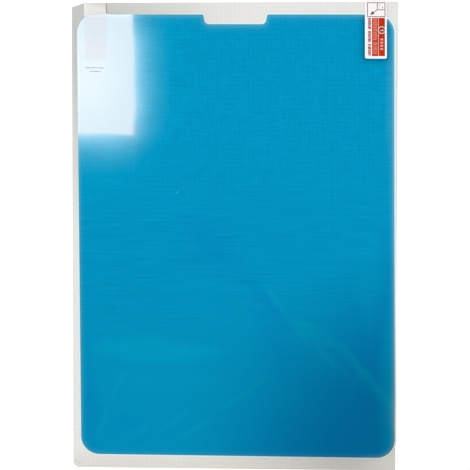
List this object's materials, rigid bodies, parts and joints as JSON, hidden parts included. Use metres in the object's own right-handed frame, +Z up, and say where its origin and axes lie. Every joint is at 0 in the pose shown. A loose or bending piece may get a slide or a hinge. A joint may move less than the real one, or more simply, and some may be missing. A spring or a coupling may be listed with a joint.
{
  "type": "paper-feel screen protector",
  "caption": "Flat paper-feel screen protector film for a tablet, with rounded corners, a camera notch, a blue release film and pull tabs, lying on its pale backing sheet.",
  "frame": {"origin": "under the middle of the film, on the underside of the backing sheet", "axes": "+X across the film to the printed tab's side, +Y along the film to its notched end, +Z up through the layers"},
  "size_m": [0.1797, 0.2576, 0.0008],
  "materials": {
    "backing": "matte",
    "tab": "satin",
    "clear_film": "satin",
    "blue_film": "gloss"
  },
  "bodies": {
    "root": {"backing_sheet": "backing", "front_pull_tab": "tab", "front_cover_film": "clear_film", "protector_film": "clear_film", "release_film": "blue_film", "back_pull_tab": "tab"}
  },
  "joints": []
}
